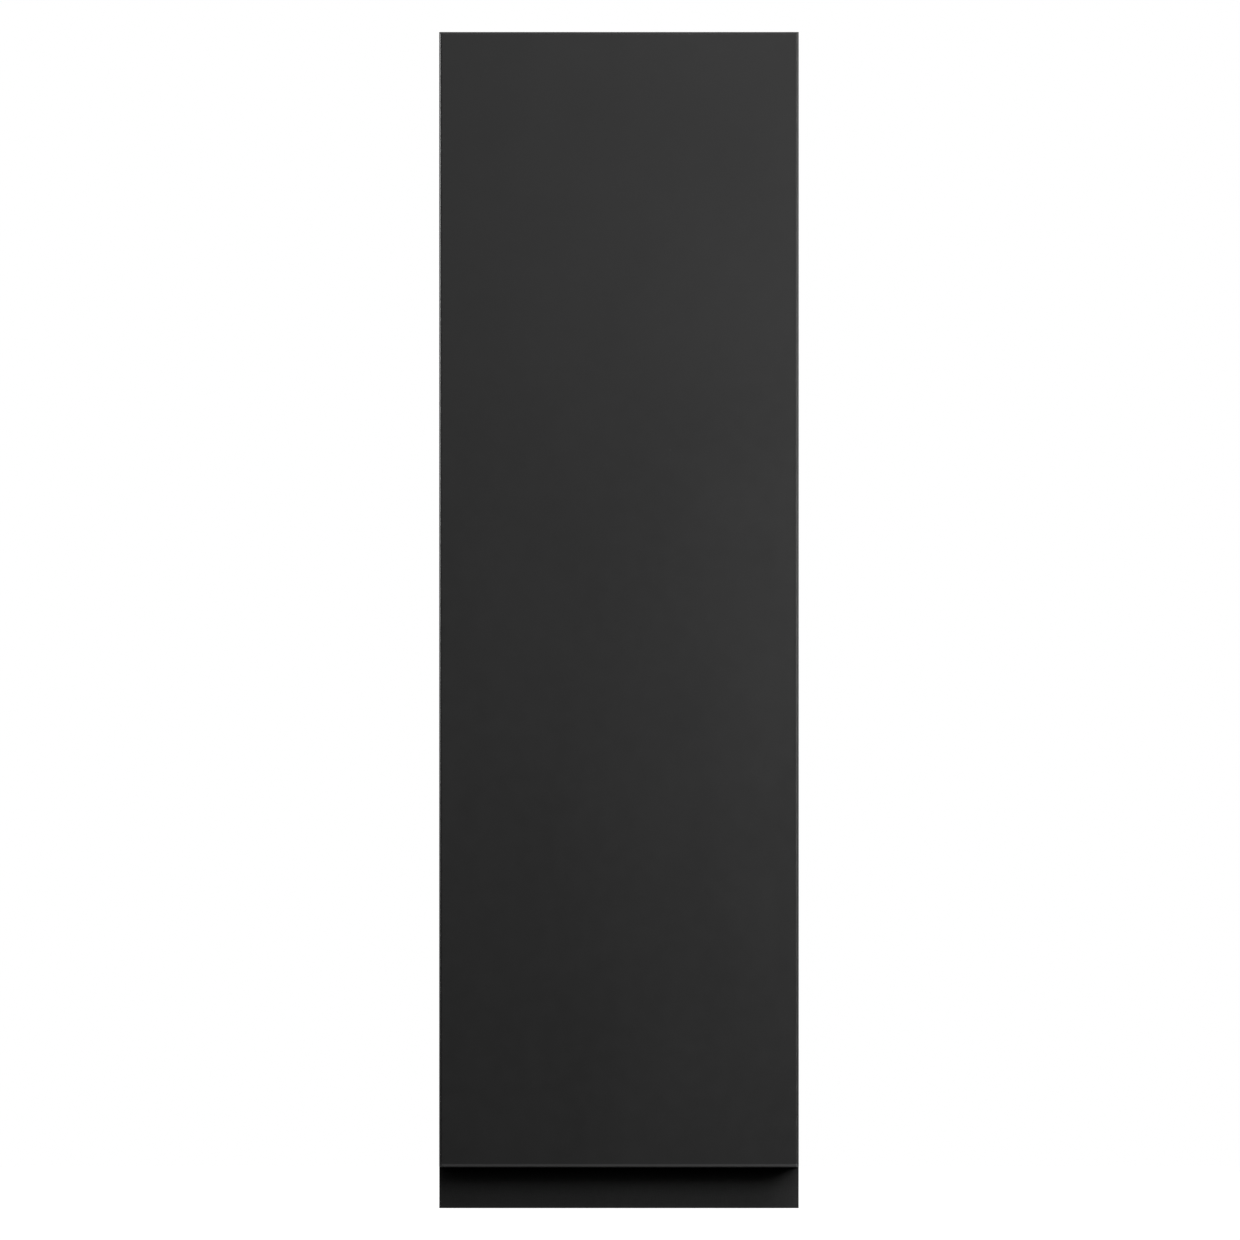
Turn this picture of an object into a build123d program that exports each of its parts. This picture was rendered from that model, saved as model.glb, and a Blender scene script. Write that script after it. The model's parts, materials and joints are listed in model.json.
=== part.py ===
"""Wardrobe with one full-height overlay door on a recessed plinth.

A carcass of 19 mm boards stands on a plinth frame. A lacquered door without a handle covers its whole
front. It hangs on four concealed single-pivot cup hinges at the left, and two push latches at the right
kick it open. Behind it are a hat shelf, a clothes rail and a shoe shelf.

Millimetres. +Z is up, +X is to the right and -Y is the front, as seen by someone facing the door. The
origin is the centre of the footprint at the floor. Sides are -1 for left and +1 for right.
"""

import os

from build123d import *

os.makedirs("parts", exist_ok=True)

# Overall sizes
WIDTH = 600
HEIGHT = 1963
DEPTH = 580
BOARD = 19
LEFT, RIGHT = -1, 1
SIDES = (LEFT, RIGHT)

# Door
REVEAL = 1.5  # the carcass edge that stays uncovered at the sides and the top
FRONT_GAP = 4  # between the door's back and the carcass, for the hinge's knuckle end to swing in
DOOR_FRONT = -DEPTH / 2
DOOR_BACK = DOOR_FRONT + BOARD
DOOR_LEFT = -WIDTH / 2 + REVEAL
DOOR_RIGHT = -DOOR_LEFT
DOOR_LOW = 68
DOOR_HIGH = HEIGHT - REVEAL
DOOR_ROUND = 3.5  # lacquered front edges
DOOR_CORNER = 1  # and their corners
BOARD_ROUND = 0.8  # edge-banded edges

# Carcass
CARCASS_FRONT = DOOR_BACK + FRONT_GAP
CARCASS_BACK = DEPTH / 2
PLINTH_HEIGHT = 70
INSIDE = WIDTH / 2 - BOARD  # half the clear width
FLOOR_TOP = PLINTH_HEIGHT + BOARD
CEILING = HEIGHT - BOARD

# Back panel, held in a groove on all four sides
BACK_PANEL = 8
BACK_FACE = CARCASS_BACK - 20
GROOVE = 8.5
BACK_REACH = 8
SLACK = 0.1  # all round a board in its groove

# Plinth frame
PLINTH_FRONT = DOOR_FRONT + 50
PLINTH_BACK = CARCASS_BACK - 20

# Shelves and their pins
SHELF_SIDE_GAP = 0.5
SHELF_FRONT = CARCASS_FRONT + 6
SHELF_BACK = BACK_FACE - 3
SHELF_HALF = INSIDE - SHELF_SIDE_GAP
HAT_SHELF_LOW = 1621
SHOE_SHELF_LOW = 290
PIN_RADIUS = 2.5
PIN_HEAD_RADIUS = 3.5
PIN_HEAD = 8
PIN_DEPTH = 10
PIN_ROW_FRONT = CARCASS_FRONT + 37
PIN_ROW_BACK = 230
PIN_PITCH = 32
HOLES_BELOW, HOLES_ABOVE = 2, 4  # spare holes either side of the one in use
FIT = 0.05  # radial clearance of a pin, screw or dowel in its hole
SPARE = 1  # a blind hole is this much deeper than what it holds
THROUGH = 40  # deep enough to pass right through a bracket and the back panel

# Clothes rail, an oval tube in a cradle at each end
RAIL_Z = HAT_SHELF_LOW - 52
RAIL_TALL, RAIL_DEEP, RAIL_WALL = 30, 15, 1
RAIL_END_GAP = 0.5
SOCKET_PLATE = 2.5
SOCKET_REACH = 14
SOCKET_WALL = 2.4
SOCKET_CLEAR = 0.2
SOCKET_TALL = 62
SOCKET_SCREW_Z = 24

# Cam fittings and dowels between the side panels and the top and bottom panels
CAM_Y = (-150, 160)
DOWEL_Y = (-240, 240)
CAM_RADIUS, CAM_DEPTH = 7.5, 13
CAM_INSET = 34
CAM_SLACK = 0.5  # a cam lies this far under the face it is turned from
CAM_SLOT = (10.5, 1.4, 1.6)  # length, width and depth of each arm of its cross
CAM_MOUTH = 10  # depth of the opening that takes the bolt's head
BOLT_SHORT = 2  # a bolt ends this far before its cam's centre
BOLT_RADIUS, BOLT_THREAD_RADIUS, BOLT_THREAD = 3.5, 2.5, 11
DOWEL_RADIUS = 4
DOWEL_IN_SIDE, DOWEL_IN_PANEL = 11, 19

# Levelling feet in the corners of the plinth
FOOT_INSET = 25
FOOT_X = INSIDE - FOOT_INSET
FOOT_Y = (PLINTH_FRONT + BOARD + FOOT_INSET, PLINTH_BACK - BOARD - FOOT_INSET)
FOOT_RADIUS, FOOT_THICK = 17, 6
FOOT_ROUND = 2
FOOT_THREAD = 5
FOOT_TOP = 60
FOOT_CHAMFER = 0.8
KEY_RADIUS, KEY_DEPTH = 3, 7  # hexagon socket in the stem, across its flats
BLOCK = 46
BLOCK_WALL = 4
BLOCK_WEB = 3
BLOCK_BOSS = 10
BLOCK_LOW = 28
BLOCK_CLEAR = 0.4  # between the boss and the foot's disc
BLOCK_SCREW_NEAR, BLOCK_SCREW_FAR = 12, 37  # from the plinth's inner corner
ACCESS_RADIUS = 6
CAP_RADIUS, CAP_THICK, CAP_PLUG = 8.5, 1.2, 7

# Wall brackets under the top panel
BRACKET_X = 200
BRACKET_SIZE = 40
BRACKET_STEEL = 2
BRACKET_CORNER = 6
BRACKET_SCREW_Y = BACK_FACE - 28
BRACKET_SCREW_X = 11
WALL_HOLE = 3
WALL_HOLE_Z = CEILING - 28

# Single-pivot cup hinges, at the left
HINGE_END = 100  # from the door's ends to the first and the last hinge
HINGES = 4
CUP_RADIUS, CUP_DEPTH, CUP_WALL = 17.4, 13, 0.8
CUP_BORE = CUP_RADIUS + 2 * FIT
CUP_EDGE = 3  # wood between the cup's bore and the door's edge
CUP_X = DOOR_LEFT + CUP_EDGE + CUP_BORE
CUP_FLANGE, CUP_RIM = 1, 1.6
CUP_EAR_X, CUP_EAR_Z, CUP_EAR_RADIUS = CUP_X + 6, 24, 6.5
PIVOT_X = DOOR_LEFT + 8.4
PIVOT_Y = DOOR_BACK - 9.5
PIVOT_PIN, PIVOT_PIN_LENGTH = 1.25, 21
BOSS_WIDE, BOSS_TALL, BOSS_GAP = 7, 6, 14  # the cup's two bosses and the gap between them, for the knuckle
KNUCKLE_RADIUS = 2.4
KNUCKLE_HALF = 5.5
NECK_REACH = 16  # from the pivot to the neck's upright leg
NECK_STEEL, NECK_BEND = 2.5, 5
ARM_HALF, ARM_STEEL, ARM_ROUND = 8, 1.4, 1.2
ARM_FRONT, ARM_BACK = CARCASS_FRONT + 5, CARCASS_FRONT + 63
PLATE_STEEL = 2.5
ARM_LOW, ARM_HIGH = -INSIDE + PLATE_STEEL + 0.1, -INSIDE + 13.5
PLATE_WING = (49, 15)
PLATE_BODY, PLATE_BODY_ROUND = (46, 13), 2
PLATE_RAIL, PLATE_RAIL_HALF, PLATE_RAIL_ROUND = 10.5, 5.5, 1
PLATE_RAIL_Y = (CARCASS_FRONT + 14, CARCASS_FRONT + 57)
PLATE_SCREW_Z = 16
ADJUSTER_Y = (CARCASS_FRONT + 22, CARCASS_FRONT + 45)
ADJUSTER_RADIUS, ADJUSTER_LENGTH = 2.4, 8
ADJUSTER_HEAD_RADIUS, ADJUSTER_HEAD = 4, 1.4
ADJUSTER_HOLE = 3
ADJUSTER_CROSS = (5, 1, 0.9)

# Push latches in the right side panel's front edge
LATCH_X = WIDTH / 2 - BOARD / 2
LATCH_Z = {"lower": 480, "upper": 1480}
LATCH_RADIUS, LATCH_LENGTH = 4.9, 76
LATCH_COLLAR_RADIUS, LATCH_COLLAR = 7, 1
LATCH_FLOOR = 4  # closed rear end of the housing
PLUNGER_RADIUS, PLUNGER_LENGTH = 3, 60
PLUNGER_GAP = 0.2  # between the tip and the collar
TIP_RADIUS, TIP_THICK, TIP_ROUND = 4, 1.6, 0.5
STRIKE_RADIUS, STRIKE_STEEL, STRIKE_ROUND = 6, 1, 0.3

# Clear bumpers on the door's back, where it would knock on the right side panel
BUMPER_RADIUS, BUMPER_THICK, BUMPER_ROUND = 4.5, 1.3, 1
BUMPER_Z = (DOOR_LOW + 40, DOOR_HIGH - 40)

# Cross recess of every screw, as parts of its head's radius
CROSS_LONG, CROSS_WIDE, CROSS_DEEP = 1.2, 0.28, 0.4

# Screws: head radius, shank radius, length
CUP_SCREW = (3.4, 1.7, 11)
PLATE_SCREW = (4.4, 3, 13)
SOCKET_SCREW = (3.2, 1.6, 13)
BRACKET_SCREW = (3.6, 1.8, 14)
BLOCK_SCREW = (3.6, 1.8, 14)

SUNK = (Align.CENTER, Align.CENTER, Align.MAX)  # a solid that goes into its plane
PROUD = (Align.CENTER, Align.CENTER, Align.MIN)  # a solid that stands on its plane

HINGE_Z = [
    DOOR_LOW + HINGE_END + number * (DOOR_HIGH - DOOR_LOW - 2 * HINGE_END) / (HINGES - 1)
    for number in range(HINGES)
]
JOINT_Z = (PLINTH_HEIGHT + BOARD / 2, HEIGHT - BOARD / 2)  # mid-thickness of the bottom and the top panel
PIN_Z = [
    shelf - PIN_HEAD_RADIUS + PIN_PITCH * step
    for shelf in (SHOE_SHELF_LOW, HAT_SHELF_LOW)
    for step in range(-HOLES_BELOW, HOLES_ABOVE + 1)
]


def save(part, name):
    """Labels one finished piece and writes its STEP file."""
    part.label = name
    export_step(part, f"parts/{name}.step")


def slab(low, high, mode=Mode.ADD):
    """A box between two opposite corners, in any order, in the part being built."""
    near = [min(pair) for pair in zip(low, high)]
    far = [max(pair) for pair in zip(low, high)]
    with Locations(Vector(*near)):
        Box(*(b - a for a, b in zip(near, far)), align=(Align.MIN,) * 3, mode=mode)


def inner_wall(side, y, z, inset=0):
    """A plane on a side panel's inner face at one point, its normal pointing into the wardrobe."""
    return Plane(origin=(side * (INSIDE - inset), y, z), x_dir=(0, 1, 0), z_dir=(-side, 0, 0))


def facing(x, y, z, direction):
    """A plane at one point with its normal along direction."""
    across = (1, 0, 0) if direction[0] == 0 else (0, 1, 0)
    return Plane(origin=(x, y, z), x_dir=across, z_dir=direction)


def drill(places, radius, depth):
    """Round holes into the part being built, each against its plane's normal."""
    with Locations(*places):
        Cylinder(radius, depth, align=SUNK, mode=Mode.SUBTRACT)


def countersink(places, screw):
    """Through holes with a 90 degree countersink for one size of screw."""
    head, shank, length = screw
    drill(places, shank + FIT, length)
    with Locations(*places):
        Cone(shank + FIT, head + FIT, head - shank, align=SUNK, mode=Mode.SUBTRACT)


def drill_for(places, screw):
    """Blind pilot holes for one size of screw."""
    head, shank, length = screw
    drill(places, shank + FIT, length + SPARE)


def screw_group(places, screw):
    """Countersunk screws with a cross recess, heads flush with their planes, as separate solids."""
    head, shank, length = screw
    long, wide, deep = head * CROSS_LONG, head * CROSS_WIDE, head * CROSS_DEEP
    with BuildPart() as group:
        with Locations(*places):
            Cylinder(shank, length, align=SUNK)
            Cone(shank, head, head - shank, align=SUNK)
            Box(long, wide, deep, align=SUNK, mode=Mode.SUBTRACT)
            Box(wide, long, deep, align=SUNK, mode=Mode.SUBTRACT)
    return group.part


def hinge_plate_screws(z):
    """Where the two screws of the hinge plate at one height sit."""
    offsets = (-PLATE_SCREW_Z, PLATE_SCREW_Z)
    return [inner_wall(LEFT, PIN_ROW_FRONT, z + offset, PLATE_STEEL) for offset in offsets]


def rail_socket_screws(side):
    """Where the two screws of one rail socket sit."""
    offsets = (-SOCKET_SCREW_Z, SOCKET_SCREW_Z)
    return [inner_wall(side, 0, RAIL_Z + offset, SOCKET_PLATE) for offset in offsets]


def bracket_screws(side):
    """Where the two screws of one wall bracket sit, in the top panel's underside."""
    return [
        facing(side * BRACKET_X + offset, BRACKET_SCREW_Y, CEILING - BRACKET_STEEL, (0, 0, -1))
        for offset in (-BRACKET_SCREW_X, BRACKET_SCREW_X)
    ]


def wall_hole(side):
    """Where the wall screw of one bracket passes, seen from behind."""
    return facing(side * BRACKET_X, CARCASS_BACK, WALL_HOLE_Z, (0, 1, 0))


def block_screws(side, y):
    """Where the two screws of one corner block sit, in the bottom panel's underside."""
    inward = 1 if y < 0 else -1
    corner_x, corner_y = side * INSIDE, y - inward * FOOT_INSET
    low = PLINTH_HEIGHT - BLOCK_WALL
    return [
        facing(corner_x - side * along_x, corner_y + inward * along_y, low, (0, 0, -1))
        for along_x, along_y in (
            (BLOCK_SCREW_FAR, BLOCK_SCREW_NEAR),
            (BLOCK_SCREW_NEAR, BLOCK_SCREW_FAR),
        )
    ]


def cup_screws(z):
    """Where the two screws of the hinge cup at one height sit, on its flange."""
    y = DOOR_BACK + CUP_FLANGE
    return [facing(CUP_EAR_X, y, z + offset, (0, 1, 0)) for offset in (-CUP_EAR_Z, CUP_EAR_Z)]


def side_panel(side):
    """One side of the carcass, with the back panel's groove and all its drillings."""
    with BuildPart() as panel:
        slab((side * INSIDE, CARCASS_FRONT, PLINTH_HEIGHT), (side * WIDTH / 2, CARCASS_BACK, HEIGHT))
        fillet(panel.faces().sort_by(Axis.Y)[0].edges().filter_by(Axis.Z), BOARD_ROUND)
        slab(
            (side * INSIDE, BACK_FACE, FLOOR_TOP - GROOVE),
            (side * (INSIDE + GROOVE), BACK_FACE + BACK_PANEL + 2 * SLACK, CEILING + GROOVE),
            mode=Mode.SUBTRACT,
        )
        pins = [inner_wall(side, y, z) for y in (PIN_ROW_FRONT, PIN_ROW_BACK) for z in PIN_Z]
        drill(pins, PIN_RADIUS + FIT, PIN_DEPTH + SPARE)
        dowels = [inner_wall(side, y, z) for y in DOWEL_Y for z in JOINT_Z]
        drill(dowels, DOWEL_RADIUS + FIT, DOWEL_IN_SIDE + SPARE)
        bolts = [inner_wall(side, y, z) for y in CAM_Y for z in JOINT_Z]
        drill(bolts, BOLT_THREAD_RADIUS + FIT, BOLT_THREAD + SPARE)
        drill_for(rail_socket_screws(side), SOCKET_SCREW)
        if side == LEFT:
            drill_for([place for z in HINGE_Z for place in hinge_plate_screws(z)], PLATE_SCREW)
        else:
            fronts = [facing(LATCH_X, CARCASS_FRONT, z, (0, -1, 0)) for z in LATCH_Z.values()]
            drill(fronts, LATCH_RADIUS + FIT, LATCH_LENGTH + SPARE)
    return panel.part


def end_panel(low, outward, cam_face):
    """The top or the bottom panel. outward is +1 for the top one, and -1 for the bottom one."""
    groove_face = low if outward > 0 else low + BOARD
    with BuildPart() as panel:
        slab((-INSIDE, CARCASS_FRONT, low), (INSIDE, CARCASS_BACK, low + BOARD))
        fillet(panel.faces().sort_by(Axis.Y)[0].edges().filter_by(Axis.X), BOARD_ROUND)
        slab(
            (-INSIDE, BACK_FACE, groove_face),
            (INSIDE, BACK_FACE + BACK_PANEL + 2 * SLACK, groove_face + outward * GROOVE),
            mode=Mode.SUBTRACT,
        )
        middle = low + BOARD / 2
        for side in SIDES:
            dowels = [facing(side * INSIDE, y, middle, (side, 0, 0)) for y in DOWEL_Y]
            drill(dowels, DOWEL_RADIUS + FIT, DOWEL_IN_PANEL + SPARE)
            bolts = [facing(side * INSIDE, y, middle, (side, 0, 0)) for y in CAM_Y]
            drill(bolts, BOLT_RADIUS + FIT, CAM_INSET)
            pockets = [facing(side * (INSIDE - CAM_INSET), y, cam_face, (0, 0, outward)) for y in CAM_Y]
            drill(pockets, CAM_RADIUS + FIT, CAM_DEPTH)
        if outward > 0:
            drill_for([place for side in SIDES for place in bracket_screws(side)], BRACKET_SCREW)
        else:
            tops = [facing(side * FOOT_X, y, low + BOARD, (0, 0, 1)) for side in SIDES for y in FOOT_Y]
            drill(tops, ACCESS_RADIUS, BOARD)
            screws = [place for side in SIDES for y in FOOT_Y for place in block_screws(side, y)]
            drill_for(screws, BLOCK_SCREW)
    return panel.part


# Carcass
save(side_panel(LEFT), "side_panel_left")
save(side_panel(RIGHT), "side_panel_right")
save(end_panel(CEILING, 1, HEIGHT), "top_panel")
save(end_panel(PLINTH_HEIGHT, -1, PLINTH_HEIGHT), "bottom_panel")

with BuildPart() as back_panel:
    slab(
        (-INSIDE - BACK_REACH, BACK_FACE + SLACK, FLOOR_TOP - BACK_REACH),
        (INSIDE + BACK_REACH, BACK_FACE + SLACK + BACK_PANEL, CEILING + BACK_REACH),
    )
    drill([wall_hole(side) for side in SIDES], WALL_HOLE, THROUGH)
save(back_panel.part, "back_panel")

# Plinth frame: full-width front board, side boards behind it, rear board between them
with BuildPart() as plinth_front:
    slab((-WIDTH / 2, PLINTH_FRONT, 0), (WIDTH / 2, PLINTH_FRONT + BOARD, PLINTH_HEIGHT))
    fillet(plinth_front.faces().sort_by(Axis.Y)[0].edges(), BOARD_ROUND)
save(plinth_front.part, "plinth_front")

with BuildPart() as plinth_rear:
    slab((-INSIDE, PLINTH_BACK - BOARD, 0), (INSIDE, PLINTH_BACK, PLINTH_HEIGHT))
save(plinth_rear.part, "plinth_rear")

for side, word in zip(SIDES, ("left", "right")):
    with BuildPart() as plinth_side:
        slab((side * INSIDE, PLINTH_FRONT + BOARD, 0), (side * WIDTH / 2, PLINTH_BACK, PLINTH_HEIGHT))
    save(plinth_side.part, f"plinth_side_{word}")


# Shelves on pins
for shelf_low, name in ((HAT_SHELF_LOW, "hat_shelf"), (SHOE_SHELF_LOW, "shoe_shelf")):
    with BuildPart() as shelf:
        slab((-SHELF_HALF, SHELF_FRONT, shelf_low), (SHELF_HALF, SHELF_BACK, shelf_low + BOARD))
        fillet(shelf.faces().sort_by(Axis.Y)[0].edges().filter_by(Axis.X), BOARD_ROUND)
    save(shelf.part, name)

with BuildPart() as shelf_pins:
    walls = [
        inner_wall(side, y, shelf_low - PIN_HEAD_RADIUS)
        for side in SIDES
        for y in (PIN_ROW_FRONT, PIN_ROW_BACK)
        for shelf_low in (SHOE_SHELF_LOW, HAT_SHELF_LOW)
    ]
    with Locations(*walls):
        Cylinder(PIN_RADIUS, PIN_DEPTH, align=SUNK)
        Cylinder(PIN_HEAD_RADIUS, PIN_HEAD, align=PROUD)
save(shelf_pins.part, "shelf_pins")


# Clothes rail and its sockets
rail_half = INSIDE - SOCKET_PLATE - RAIL_END_GAP
with BuildPart() as clothes_rail:
    with BuildSketch(Plane(origin=(-rail_half, 0, RAIL_Z), x_dir=(0, 0, 1), z_dir=(1, 0, 0))):
        SlotOverall(RAIL_TALL, RAIL_DEEP)
        offset(amount=-RAIL_WALL, mode=Mode.SUBTRACT)
    extrude(amount=2 * rail_half)
save(clothes_rail.part, "clothes_rail")

for side, word in zip(SIDES, ("left", "right")):
    wall = Plane(origin=(side * INSIDE, 0, RAIL_Z), x_dir=(0, 0, 1), z_dir=(-side, 0, 0))
    with BuildPart() as rail_socket:
        with BuildSketch(wall):
            SlotOverall(SOCKET_TALL, RAIL_DEEP + 2 * SOCKET_WALL)
        extrude(amount=SOCKET_PLATE)
        with BuildSketch(wall.offset(SOCKET_PLATE)):
            SlotOverall(RAIL_TALL + 2 * SOCKET_WALL, RAIL_DEEP + 2 * SOCKET_WALL)
            SlotOverall(RAIL_TALL + 2 * SOCKET_CLEAR, RAIL_DEEP + 2 * SOCKET_CLEAR, mode=Mode.SUBTRACT)
            with Locations((RAIL_TALL / 2, 0)):
                Rectangle(RAIL_TALL, 2 * RAIL_DEEP, mode=Mode.SUBTRACT)
        extrude(amount=SOCKET_REACH - SOCKET_PLATE)
        countersink(rail_socket_screws(side), SOCKET_SCREW)
    save(rail_socket.part, f"rail_socket_{word}")

screws = screw_group([place for side in SIDES for place in rail_socket_screws(side)], SOCKET_SCREW)
save(screws, "rail_socket_screws")


# Cam fittings and dowels
slot_long, slot_wide, slot_deep = CAM_SLOT
with BuildPart() as cam_locks:
    for side in SIDES:
        for level, face, outward in ((JOINT_Z[0], PLINTH_HEIGHT, -1), (JOINT_Z[1], HEIGHT, 1)):
            sunk_face = face - outward * CAM_SLACK
            cam_x = side * (INSIDE - CAM_INSET)
            with Locations(*[facing(cam_x, y, sunk_face, (0, 0, outward)) for y in CAM_Y]):
                Cylinder(CAM_RADIUS, CAM_DEPTH - CAM_SLACK, align=SUNK)
                Box(slot_long, slot_wide, slot_deep, align=SUNK, mode=Mode.SUBTRACT)
                Box(slot_wide, slot_long, slot_deep, align=SUNK, mode=Mode.SUBTRACT)
            mouth_x = cam_x + side * CAM_RADIUS
            mouths = [facing(mouth_x, y, level, (side, 0, 0)) for y in CAM_Y]
            drill(mouths, BOLT_RADIUS + 2 * FIT, CAM_MOUTH)
save(cam_locks.part, "cam_locks")

with BuildPart() as cam_bolts:
    shoulders = [inner_wall(side, y, z) for side in SIDES for y in CAM_Y for z in JOINT_Z]
    with Locations(*shoulders):
        Cylinder(BOLT_THREAD_RADIUS, BOLT_THREAD, align=SUNK)
        Cylinder(BOLT_RADIUS, CAM_INSET - BOLT_SHORT, align=PROUD)
save(cam_bolts.part, "cam_bolts")

with BuildPart() as dowels:
    outer_ends = [inner_wall(side, y, z, -DOWEL_IN_SIDE) for side in SIDES for y in DOWEL_Y for z in JOINT_Z]
    with Locations(*outer_ends):
        Cylinder(DOWEL_RADIUS, DOWEL_IN_SIDE + DOWEL_IN_PANEL, align=PROUD)
save(dowels.part, "dowels")


# Wall brackets: an angle under the top panel, with the wall screw's hole through it and the back panel
for side, word in zip(SIDES, ("left", "right")):
    x_low, x_high = side * BRACKET_X - BRACKET_SIZE / 2, side * BRACKET_X + BRACKET_SIZE / 2
    with BuildPart() as wall_bracket:
        slab((x_low, BACK_FACE - BRACKET_SIZE, CEILING - BRACKET_STEEL), (x_high, BACK_FACE, CEILING))
        slab((x_low, BACK_FACE - BRACKET_STEEL, CEILING - BRACKET_SIZE), (x_high, BACK_FACE, CEILING))
        corners = wall_bracket.faces().sort_by(Axis.Z)[0].edges().filter_by(Axis.Y)
        corners += wall_bracket.faces().sort_by(Axis.Y)[0].edges().filter_by(Axis.Z)
        fillet(corners, BRACKET_CORNER)
        drill([wall_hole(side)], WALL_HOLE, THROUGH)
        countersink(bracket_screws(side), BRACKET_SCREW)
    save(wall_bracket.part, f"wall_bracket_{word}")

screws = screw_group([place for side in SIDES for place in bracket_screws(side)], BRACKET_SCREW)
save(screws, "wall_bracket_screws")


# Levelling feet: a moulded corner block, and a foot whose threaded stem a key turns through the bottom panel
def corner_block(side, y):
    """The block that ties two plinth boards to the bottom panel and holds one foot."""
    inward = 1 if y < 0 else -1
    x_wall, y_wall = side * INSIDE, y - inward * FOOT_INSET
    x_far, y_far = x_wall - side * BLOCK, y_wall + inward * BLOCK
    stem_x, stem_y = side * FOOT_X, y
    web = BLOCK_WEB / 2
    boss_low = FOOT_THICK + BLOCK_CLEAR
    with BuildPart() as block:
        slab((x_wall, y_wall, PLINTH_HEIGHT - BLOCK_WALL), (x_far, y_far, PLINTH_HEIGHT))
        slab((x_wall, y_wall, BLOCK_LOW), (x_wall - side * BLOCK_WALL, y_far, PLINTH_HEIGHT))
        slab((x_wall, y_wall, BLOCK_LOW), (x_far, y_wall + inward * BLOCK_WALL, PLINTH_HEIGHT))
        slab((x_wall, stem_y - web, BLOCK_LOW), (stem_x, stem_y + web, PLINTH_HEIGHT))
        slab((stem_x - web, y_wall, BLOCK_LOW), (stem_x + web, stem_y, PLINTH_HEIGHT))
        with Locations((stem_x, stem_y, boss_low)):
            Cylinder(BLOCK_BOSS, PLINTH_HEIGHT - boss_low, align=PROUD)
        drill([facing(stem_x, stem_y, PLINTH_HEIGHT, (0, 0, 1))], FOOT_THREAD + FIT, PLINTH_HEIGHT)
        countersink(block_screws(side, y), BLOCK_SCREW)
    return block.part


feet = [(side, y) for y in FOOT_Y for side in SIDES]
for number, (side, y) in enumerate(feet, 1):
    save(corner_block(side, y), f"corner_block_{number}")
    with BuildPart() as levelling_foot:
        with Locations((side * FOOT_X, y, 0)):
            Cylinder(FOOT_RADIUS, FOOT_THICK, align=PROUD)
        fillet(levelling_foot.edges().group_by(Axis.Z)[-1], FOOT_ROUND)
        with Locations((side * FOOT_X, y, FOOT_THICK)):
            Cylinder(FOOT_THREAD, FOOT_TOP - FOOT_THICK, align=PROUD)
        chamfer(levelling_foot.edges().group_by(Axis.Z)[-1], FOOT_CHAMFER)
        with BuildSketch(Plane(origin=(side * FOOT_X, y, FOOT_TOP))):
            RegularPolygon(KEY_RADIUS, 6, major_radius=False)
        extrude(amount=-KEY_DEPTH, mode=Mode.SUBTRACT)
    save(levelling_foot.part, f"levelling_foot_{number}")

with BuildPart() as access_caps:
    for side, y in feet:
        with Locations((side * FOOT_X, y, FLOOR_TOP)):
            Cylinder(ACCESS_RADIUS - 2 * FIT, CAP_PLUG, align=SUNK)
            Cylinder(CAP_RADIUS, CAP_THICK, align=PROUD)
save(access_caps.part, "access_caps")
screws = screw_group([place for side, y in feet for place in block_screws(side, y)], BLOCK_SCREW)
save(screws, "corner_block_screws")


# Hinges. The cup and its pin turn with the door round the arm's knuckle, which a cranked neck holds in it.
def hinge_cup(z):
    """A pressed cup with a screwed flange, and two bosses for the pin."""
    body_top = Plane.XZ.offset(-DOOR_BACK)
    inner_depth = CUP_DEPTH - CUP_WALL
    with BuildPart() as cup:
        with BuildSketch(body_top):
            with Locations((CUP_X, z)):
                Circle(CUP_RADIUS)
        extrude(amount=CUP_DEPTH)
        with BuildSketch(body_top.offset(-CUP_FLANGE)):
            with Locations((CUP_X, z)):
                Circle(CUP_RADIUS + CUP_RIM)
            with Locations((CUP_EAR_X, z - CUP_EAR_Z), (CUP_EAR_X, z + CUP_EAR_Z)):
                Circle(CUP_EAR_RADIUS)
            make_hull()
        extrude(amount=CUP_FLANGE)
        with BuildSketch(body_top.offset(-CUP_FLANGE)):
            with Locations((CUP_X, z)):
                Circle(CUP_RADIUS - CUP_WALL)
        extrude(amount=CUP_FLANGE + inner_depth, mode=Mode.SUBTRACT)
        countersink(cup_screws(z), CUP_SCREW)
        with BuildSketch(body_top.offset(inner_depth - BOSS_TALL)):
            with Locations((CUP_X, z)):
                Circle(CUP_RADIUS - CUP_WALL)
            with Locations((PIVOT_X, z)):
                Rectangle(BOSS_WIDE, 2 * CUP_RADIUS, mode=Mode.INTERSECT)
                Rectangle(BOSS_WIDE, BOSS_GAP, mode=Mode.SUBTRACT)
        extrude(amount=BOSS_TALL)
        pin_hole = PIVOT_PIN_LENGTH + 2 * SPARE
        drill([facing(PIVOT_X, PIVOT_Y, z + pin_hole / 2, (0, 0, 1))], PIVOT_PIN + FIT, pin_hole)
    return cup.part


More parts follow.
